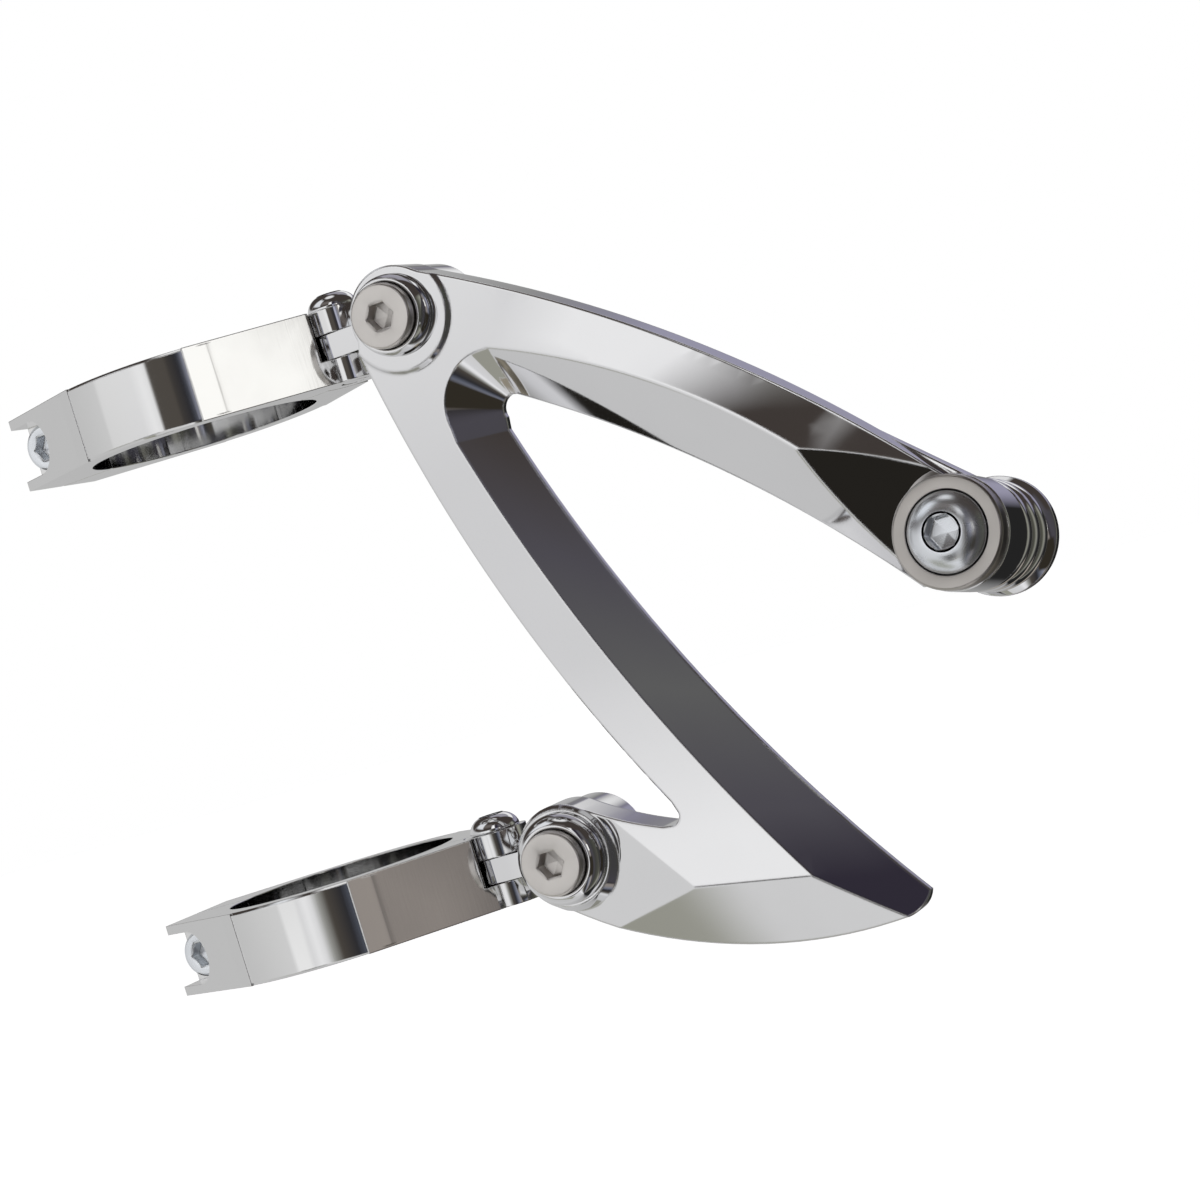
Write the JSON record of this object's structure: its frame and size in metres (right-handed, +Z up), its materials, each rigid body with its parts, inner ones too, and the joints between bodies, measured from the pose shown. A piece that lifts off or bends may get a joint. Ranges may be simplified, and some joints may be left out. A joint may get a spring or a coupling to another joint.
{
  "type": "headlight mounting bracket",
  "caption": "Chromed fork-mount bracket for a round headlight: hinged fork clamps, swivelling links and a Z-shaped arm with a pivot bolt for the light.",
  "frame": {"origin": "on the fork's axis, half way up the upper clamp", "axes": "+Z up along the fork, +X forward towards the headlight, +Y inboard, away from the outer side of the bracket"},
  "size_m": [0.2039, 0.0615, 0.152],
  "materials": {
    "chrome_arm": "mirror chrome plate over polished metal",
    "chrome_clamp": "chrome plate, faint brushing towards the rear ears",
    "chrome_small": "mirror chrome plate on turned parts",
    "satin_bolt": "satin stainless faces, fine turning marks",
    "satin_washer": "satin, warm grey",
    "zinc": "bright zinc, slightly blue"
  },
  "bodies": {
    "upper_clamp": {"upper_clamp_body": "chrome_clamp"},
    "upper_jaw": {"upper_clamp_jaw": "chrome_clamp", "upper_hinge_screw": "chrome_small"},
    "upper_pinch": {"upper_pinch_screw": "zinc"},
    "upper_link": {"upper_link": "chrome_small", "upper_collar": "chrome_small", "upper_cap_bolt": "satin_bolt"},
    "arm": {"arm": "chrome_arm", "cup_washer": "satin_washer", "headlight_bolt": "zinc", "spacer_ring_outer": "chrome_small", "spacer_ring_middle": "chrome_small", "spacer_ring_inner": "chrome_small", "flange_washer": "chrome_small"},
    "lower_link": {"lower_link": "chrome_small", "lower_collar": "chrome_small", "lower_cap_bolt": "satin_bolt"},
    "lower_clamp": {"lower_clamp_body": "chrome_clamp"},
    "lower_jaw": {"lower_clamp_jaw": "chrome_clamp", "lower_hinge_screw": "chrome_small"},
    "lower_pinch": {"lower_pinch_screw": "zinc"}
  },
  "joints": [
    {"name": "upper_jaw_hinge", "type": "hinge", "parent": "upper_clamp", "child": "upper_jaw", "pos_m": [0.0378, 0, 0], "axis": [0, 0, 1], "range_deg": [0, 3]},
    {"name": "upper_pinch_travel", "type": "slide", "parent": "upper_clamp", "child": "upper_pinch", "axis": [0, -1, 0], "range_m": [0, 0.004]},
    {"name": "upper_swivel", "type": "hinge", "parent": "upper_clamp", "child": "upper_link", "pos_m": [0.0378, 0, 0], "axis": [0, 0, 1], "range_deg": [-50, 50]},
    {"name": "upper_arm_pivot", "type": "hinge", "parent": "upper_link", "child": "arm", "pos_m": [0.06, 0, 0], "axis": [0, 1, 0], "range_deg": [-20, 20]},
    {"name": "lower_arm_pivot", "type": "hinge", "parent": "arm", "child": "lower_link", "pos_m": [0.06, 0, -0.112], "axis": [0, 1, 0], "range_deg": [-20, 20]},
    {"name": "lower_swivel", "type": "hinge", "parent": "lower_link", "child": "lower_clamp", "pos_m": [0.0378, 0, -0.112], "axis": [0, 0, 1], "range_deg": [-50, 50]},
    {"name": "lower_jaw_hinge", "type": "hinge", "parent": "lower_clamp", "child": "lower_jaw", "pos_m": [0.0378, 0, -0.112], "axis": [0, 0, 1], "range_deg": [0, 3]},
    {"name": "lower_pinch_travel", "type": "slide", "parent": "lower_clamp", "child": "lower_pinch", "axis": [0, -1, 0], "range_m": [0, 0.004]}
  ],
  "couplings": [
    {"joint": "upper_pinch_travel", "follows": "upper_jaw_hinge", "m_per_rad": 0.074},
    {"joint": "lower_pinch_travel", "follows": "lower_jaw_hinge", "m_per_rad": 0.074}
  ]
}
